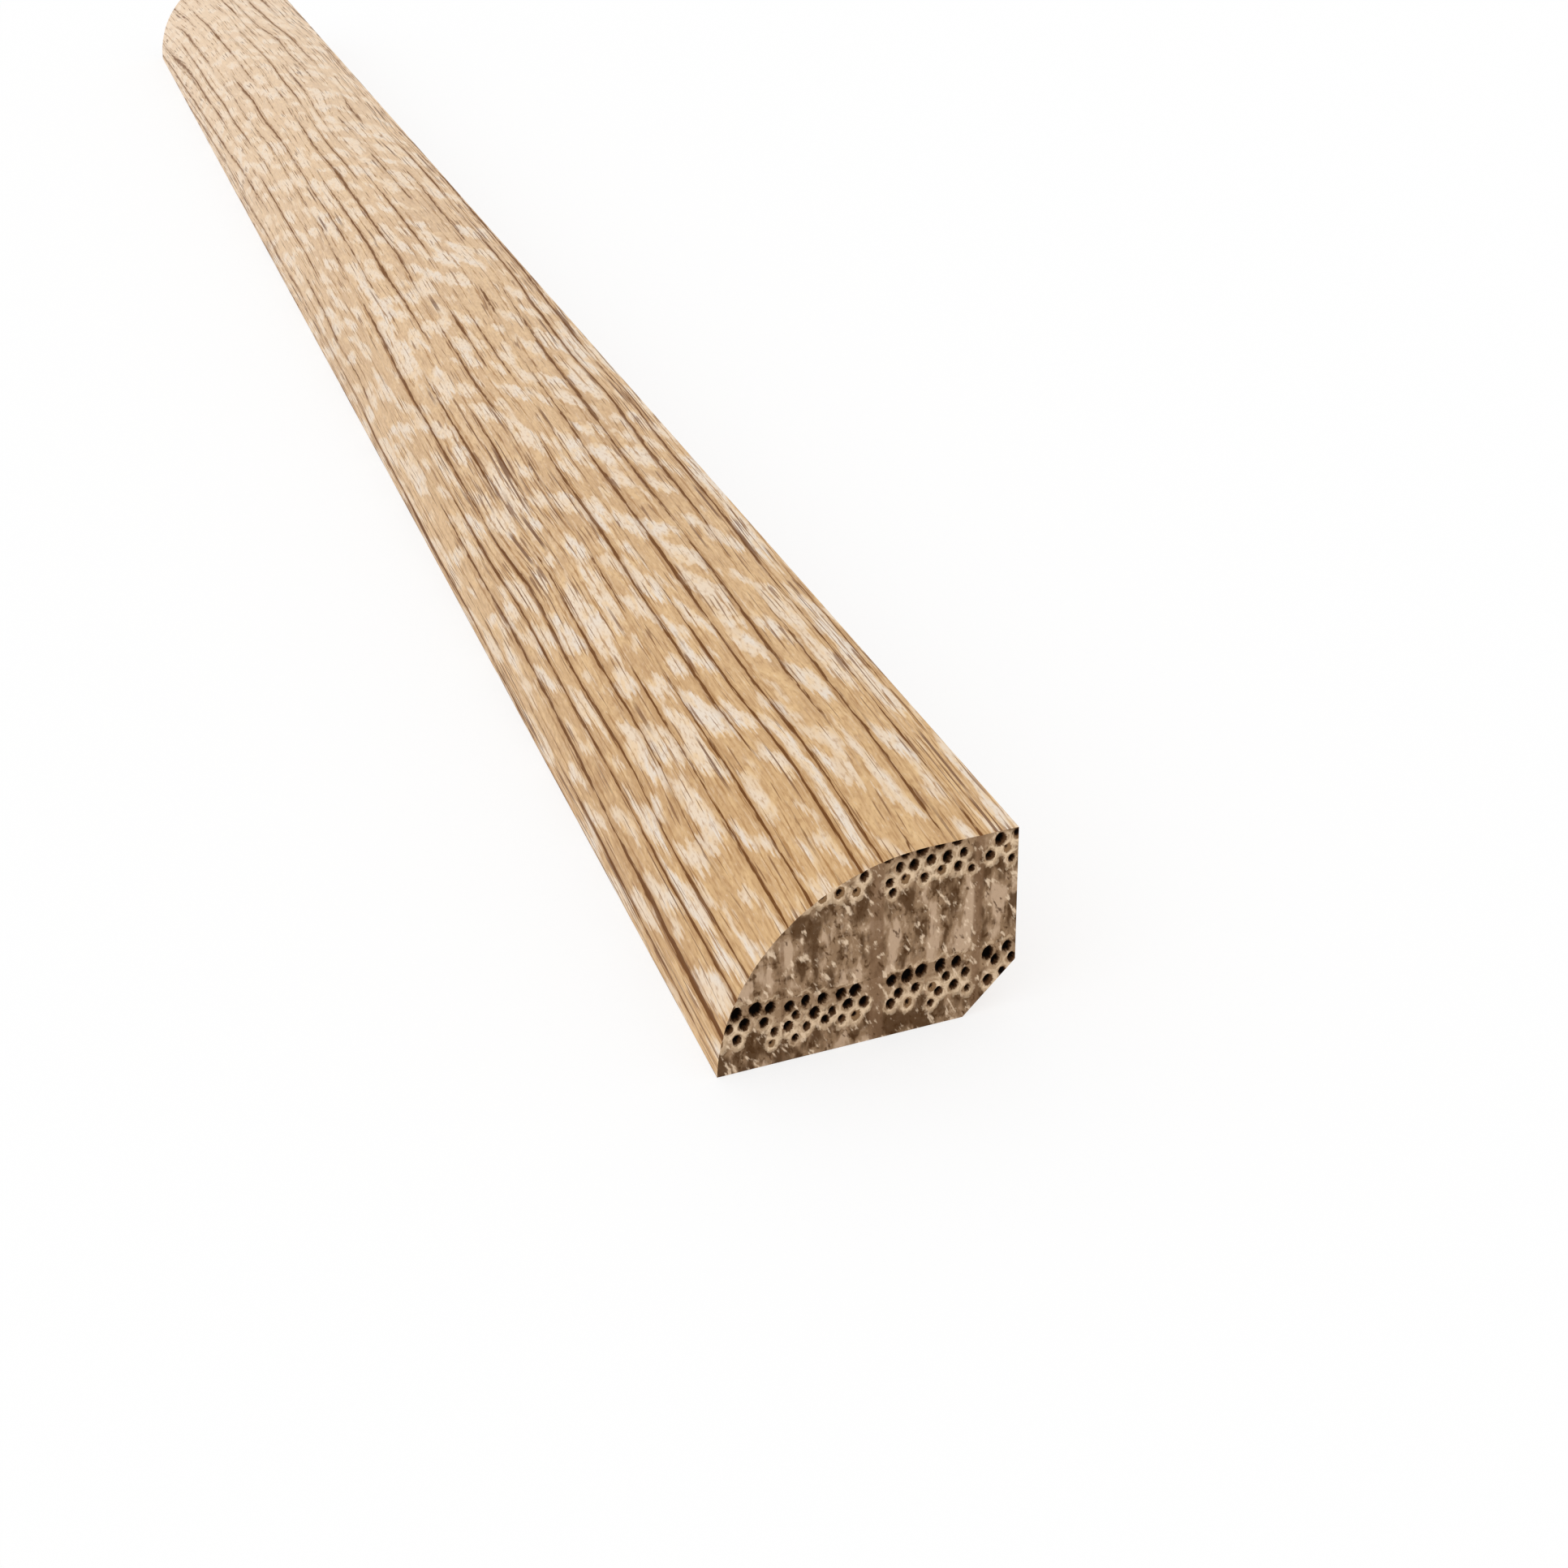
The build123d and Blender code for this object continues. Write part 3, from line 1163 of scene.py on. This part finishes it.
@dataclass(frozen=True)
class SawnEnd(Finish):
    """Bare sawn end grain.

    The eye gets dark and light columns of dense wood with torn flakes, pale with a painted highlight and
    painted shadow in the hollows between, bands of open vessels under the ring boundaries, painted in shade
    from brown banks to black holes, with a painted highlight on their lower side, and smooth rays across.
    """

    name: str = "sawn_end_grain_oak"
    middle: str = "#94785C"
    dark: str = "#4C321B"
    light: str = "#C0A489"
    # pale of a torn flake, with a painted highlight on it
    flake_highlight: str = "#E6CDB0"
    # pale of the walls and the lace, and the painted highlight on the vessels' lower sides
    wall: str = "#BC9C7A"
    pale_wall_and_highlight: str = "#E4C9A8"
    ray: str = "#7E6148"
    # painted shade in the open vessels: the brown bank by the rim, darker inward to near black in the hole
    bank: str = "#5C4029"
    inner: str = "#3A2312"
    open_pore_shade: str = "#080301"
    closed_pore: str = "#8A6B4B"
    roughness: float = 0.9
    sheen: float = 0.05  # specular level of dry open fibres
    relief: float = 0.1  # height of the torn surface
    wall_lift: float = 0.6  # height of the walls between vessels, as a share of that
    mottle_size: Size = (0.4, 5.0, 0.5)  # clumps of fibres, which alone would be too fine to show
    shadows: Ramp = Ramp(0.48, 0.3, 0.9)
    lights: Ramp = Ramp(0.52, 0.72, 0.6)
    # Dense wood in dark and light columns, darkest just below each band of vessels
    late: Ramp = Ramp(1.4, 2.2)  # depth below the ring boundary
    clear: Ramp = Ramp(0.1, 0.36)  # distance from a vessel's rim
    fresh: Ramp = Ramp(5.2, 3.4, 0.11)  # depth below the ring boundary
    column_size: Size = (0.85, 5.0, 2.4)
    dark_column: Ramp = Ramp(0.5, 0.34, 0.85)
    light_column: Ramp = Ramp(0.5, 0.6, 0.9)
    # Torn fibres: pale flakes with a painted highlight, and painted shadow in the hollows between
    flake_lean: float = 24.0  # degrees from upright
    flake_size: Size = (0.3, 5.0, 0.75)
    highlit_flakes: Ramp = Ramp(0.57, 0.72, 0.8)
    shaded_hollows: Ramp = Ramp(0.38, 0.26, 0.8)
    # Rays, and vessels from their walls inward, in millimetres from a ray's edge or a vessel's rim or core
    rays: Ramp = Ramp(0.14, -0.06, 0.7)
    fray_size: Size = (0.14, 5.0, 0.14)
    fray: float = 0.06  # how ragged the rims and cores are
    netted: Ramp = Ramp(0.8, 1.6)  # depth below the ring boundary
    walls: Ramp = Ramp(0.5, 0.2, 0.25)
    net: Ramp = Ramp(0.2, 0.05)  # from the wall between two vessels
    net_reach: Ramp = Ramp(0.36, 0.2, 0.65)
    crest_mottle: float = 0.9  # how uneven the painted highlights on the crests are
    # painted highlight on the rim's uneven crest, kept to each vessel's lower side
    painted_highlights: Ramp = Ramp(0.64, 0.46, 0.85)
    highlight_side: Ramp = Ramp(0.02, 0.09)  # further from a vessel's core than from its rim, on its lower side, where the highlight is painted
    first_row_highlights: float = 0.4  # share of the painted highlights round the first row of vessels
    lace_gap: float = 0.64  # a thin pale line, this far out on the uneven rim
    lace: Ramp = Ramp(0.11, 0.02, 0.35)
    # painted shade in the open vessels, darker from the rim down to the core
    shaded_banks: Ramp = Ramp(0.05, -0.05)
    inner_shades: Ramp = Ramp(0.06, -0.03)
    deep_shade: Ramp = Ramp(0.0, -0.08)

    def paint(self, node: AddNode) -> dict[str, Any]:
        """Builds the pattern.

        Args:
            node: adds a node to the tree.

        Returns:
            The shader's inputs.
        """
        gap, core, wall, fill, depth, ray = (
            node("Attribute", output="Fac", attribute_name=f.value)
            for f in (Field.PORE_GAP, Field.PORE_CORE, Field.PORE_WALL, Field.PORE_FILL, Field.RING_DEPTH,
                      Field.RAY_GAP))
        here = millimetres(node)
        mottle = spots(node, here, self.mottle_size, detail=5.0)
        ragged = spots(node, here, self.fray_size, signed=True)
        rim, heart = (node("Math", {0: ragged, 1: self.fray, 2: edge}, operation="MULTIPLY_ADD")
                      for edge in (gap, core))
        side = node("Math", {0: heart, 1: rim}, operation="SUBTRACT")
        uneven = node("Math", {0: mottle, 1: self.crest_mottle, 2: rim}, operation="MULTIPLY_ADD")
        from_lace = node("Math", {0: uneven, 1: self.lace_gap}, operation="SUBTRACT")
        off_lace = node("Math", {0: from_lace}, operation="ABSOLUTE")
        leaning = node("VectorRotate", {"Vector": here, "Angle": math.radians(self.flake_lean)},
                       rotation_type="Y_AXIS")
        torn = spots(node, leaning, self.flake_size)

        # What shows by one measure alone: the mottle, the depth in a ring, a rim, a core, a wall or a ray
        below, fresh, netted = (node("MapRange", ramp.over(depth), **SMOOTH)
                                for ramp in (self.late, self.fresh, self.netted))
        clear, near, reach, shaded_banks = (node("MapRange", ramp.over(rim), **SMOOTH)
                                     for ramp in (self.clear, self.walls, self.net_reach, self.shaded_banks))
        column = node("Math", {0: spots(node, here, self.column_size, detail=3.0), 1: fresh},
                      operation="SUBTRACT")
        shadows, lights, highlit_flakes, shaded_hollows, dark, light = (
            node("MapRange", ramp.over(value), **SMOOTH)
            for ramp, value in ((self.shadows, mottle), (self.lights, mottle), (self.highlit_flakes, torn),
                                (self.shaded_hollows, torn), (self.dark_column, column),
                                (self.light_column, column)))
        rays, between, pale_wall_and_highlight, highlight_side, on_lace, inner, deep_shade = (
            node("MapRange", ramp.over(value), **SMOOTH)
            for ramp, value in ((self.rays, ray), (self.net, wall), (self.painted_highlights, uneven),
                                (self.highlight_side, side), (self.lace, off_lace), (self.inner_shades, heart),
                                (self.deep_shade, heart)))

        # What shows by two: columns clear of the vessels, and walls and painted highlights by their row
        ringed = node("Math", {0: netted, 1: 1.0 - self.first_row_highlights, 2: self.first_row_highlights},
                      operation="MULTIPLY_ADD")
        late, walls, wall_line, lower_highlight, lace, closed = (
            node("Math", {0: shown, 1: share}, operation="MULTIPLY")
            for shown, share in ((below, clear), (near, netted), (between, reach), (pale_wall_and_highlight, highlight_side),
                                 (on_lace, below), (shaded_banks, fill)))
        dark_columns, light_columns, net, painted_highlights = (
            node("Math", {0: shown, 1: share}, operation="MULTIPLY")
            for shown, share in ((dark, late), (light, late), (wall_line, netted), (lower_highlight, ringed)))

        # the bank, inner and deep coats are painted shade in the vessels' holes
        colour = coats(node, self.middle, (shadows, self.dark), (lights, self.light), (walls, self.wall),
                       (dark_columns, self.dark), (light_columns, self.light), (rays, self.ray),
                       (shaded_hollows, self.dark), (highlit_flakes, self.flake_highlight), (lace, self.pale_wall_and_highlight), (net, self.pale_wall_and_highlight),
                       (painted_highlights, self.pale_wall_and_highlight), (shaded_banks, self.bank), (closed, self.closed_pore),
                       (inner, self.inner), (deep_shade, self.open_pore_shade))
        height = node("Math", {0: walls, 1: self.wall_lift, 2: mottle}, operation="MULTIPLY_ADD")
        relief = node("Bump", {"Height": height, "Distance": self.relief * MM}, "Normal")
        return {"Base Color": colour, "Roughness": self.roughness, "Specular IOR Level": self.sheen,
                "Normal": relief}


@dataclass(frozen=True)
class Studio:
    """A pale floor, even white light and the photo's camera."""

    camera_place: Size = (-37.695, -248.25, 78.73)
    camera_yaw: float = 18.956  # degrees to the right of +Y
    camera_pitch: float = 30.571  # degrees below the horizon
    camera_roll: float = -1.950
    lens: float = 49.48
    sensor: float = 36.0  # wide
    clip_start: float = 10.0  # nearest that the camera sees
    floor_half: float = 4000.0
    floor_drop: float = 0.05  # below the stick, so that the two don't share a plane
    floor_colour: str = WHITE
    floor_glow: float = 0.7  # share of plain white that is seen on the floor
    sky: float = 0.84  # light from all round, where 1 is white
    lamp_strength: float = 0.6  # watts on a square metre that faces the lamp
    lamp_spread: float = 70.0  # degrees, wide enough for soft shadows
    lamp_from: tuple[float, float, float] = (-0.45, -0.40, 0.80)  # towards the lamp

    def build(self) -> None:
        """Builds the floor, the light and the camera."""
        self.lay_floor()
        self.light()
        self.aim()

    def looked_at(self, tree: bpy.types.NodeTree) -> Socket:
        """Tells whether a ray looks at the background: from the camera, off a gloss or through glass.

        Args:
            tree: the background's node tree.

        Returns:
            1 for such a ray, or 0 for the light that falls on the stick.
        """
        seen = 0.0
        for ray in ("Is Camera Ray", "Is Glossy Ray", "Is Transmission Ray"):
            seen = add_node(tree, "Math", {0: seen, 1: add_node(tree, "LightPath", output=ray)},
                            operation="MAXIMUM")
        return seen

    def lay_floor(self) -> None:
        """Lays the floor, which the camera sees near white with the stick's soft shadow."""
        half, low = self.floor_half * MM, -self.floor_drop * MM
        mesh = bpy.data.meshes.new("floor")
        turns = ((-1, -1), (1, -1), (1, 1), (-1, 1))
        mesh.from_pydata([(x * half, y * half, low) for x, y in turns], [], [(0, 1, 2, 3)])
        paint = bpy.data.materials.new("white_matt_floor")
        paint.use_nodes = True
        tree = paint.node_tree
        tree.nodes.clear()
        matt = add_node(tree, "BsdfDiffuse", {"Color": linear(self.floor_colour)})
        glow = add_node(tree, "Emission", {"Strength": 1.0})
        share = add_node(tree, "Math", {0: self.looked_at(tree), 1: self.floor_glow}, operation="MULTIPLY")
        mixed = add_node(tree, "MixShader", {0: share, 1: matt, 2: glow})
        add_node(tree, "OutputMaterial", {"Surface": mixed})
        mesh.materials.append(paint)
        floor = bpy.data.objects.new("floor", mesh)
        bpy.context.scene.collection.objects.link(floor)

    def light(self) -> None:
        """Sets an even white sky, full white where it is seen directly, and one wide soft lamp far away."""
        world = bpy.data.worlds.new("studio")
        world.use_nodes = True
        tree = world.node_tree
        tree.nodes.clear()
        seen = self.looked_at(tree)
        even, full = (add_node(tree, "Background", {"Color": linear(WHITE), "Strength": strength})
                      for strength in (self.sky, 1.0))
        mixed = add_node(tree, "MixShader", {0: seen, 1: even, 2: full})
        add_node(tree, "OutputWorld", {"Surface": mixed})
        bpy.context.scene.world = world
        lamp = bpy.data.lights.new("soft_lamp", "SUN")
        lamp.angle = math.radians(self.lamp_spread)
        lamp.energy = self.lamp_strength
        holder = bpy.data.objects.new("soft_lamp", lamp)
        holder.rotation_euler = Vector(self.lamp_from).to_track_quat("Z", "Y").to_euler()
        bpy.context.scene.collection.objects.link(holder)

    def aim(self) -> None:
        """Puts the camera where the photo was taken from."""
        data = bpy.data.cameras.new("photo_view")
        data.lens = self.lens
        data.sensor_width = self.sensor
        data.clip_start = self.clip_start * MM
        camera = bpy.data.objects.new("photo_view", data)
        turn = (Matrix.Rotation(math.radians(-self.camera_yaw), 4, "Z")
                @ Matrix.Rotation(math.radians(90.0 - self.camera_pitch), 4, "X")
                @ Matrix.Rotation(math.radians(self.camera_roll), 4, "Z"))
        camera.matrix_world = Matrix.Translation(Vector(self.camera_place) * MM) @ turn
        scene = bpy.context.scene
        scene.collection.objects.link(camera)
        scene.camera = camera
        scene.view_settings.view_transform = "Standard"


def main() -> None:
    """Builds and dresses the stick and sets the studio."""
    logging.basicConfig(level=logging.INFO, format="%(name)s: %(message)s")
    section = Section.of_node(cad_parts[NODE])
    log.info("section %.2f by %.2f mm, %.1f mm long, round of %.2f mm", section.width, section.height,
             section.length, section.radius)
    stick = Stick(section)
    piece = stick.build()
    log.info("stick of %d vertices and %d faces", len(piece.data.vertices), len(piece.data.polygons))
    finishes = {Panel.LIMED_FACE: LimedOak(), Panel.PLANED_FLAT: PlanedOak(), Panel.SAWN_END: SawnEnd()}
    stick.dress(piece, {panel: finish.make() for panel, finish in finishes.items()})
    log.info("finishes %s", ", ".join(finish.name for finish in finishes.values()))
    Studio().build()
    log.info("studio with floor, light and camera")


if __name__ == "__main__":
    main()
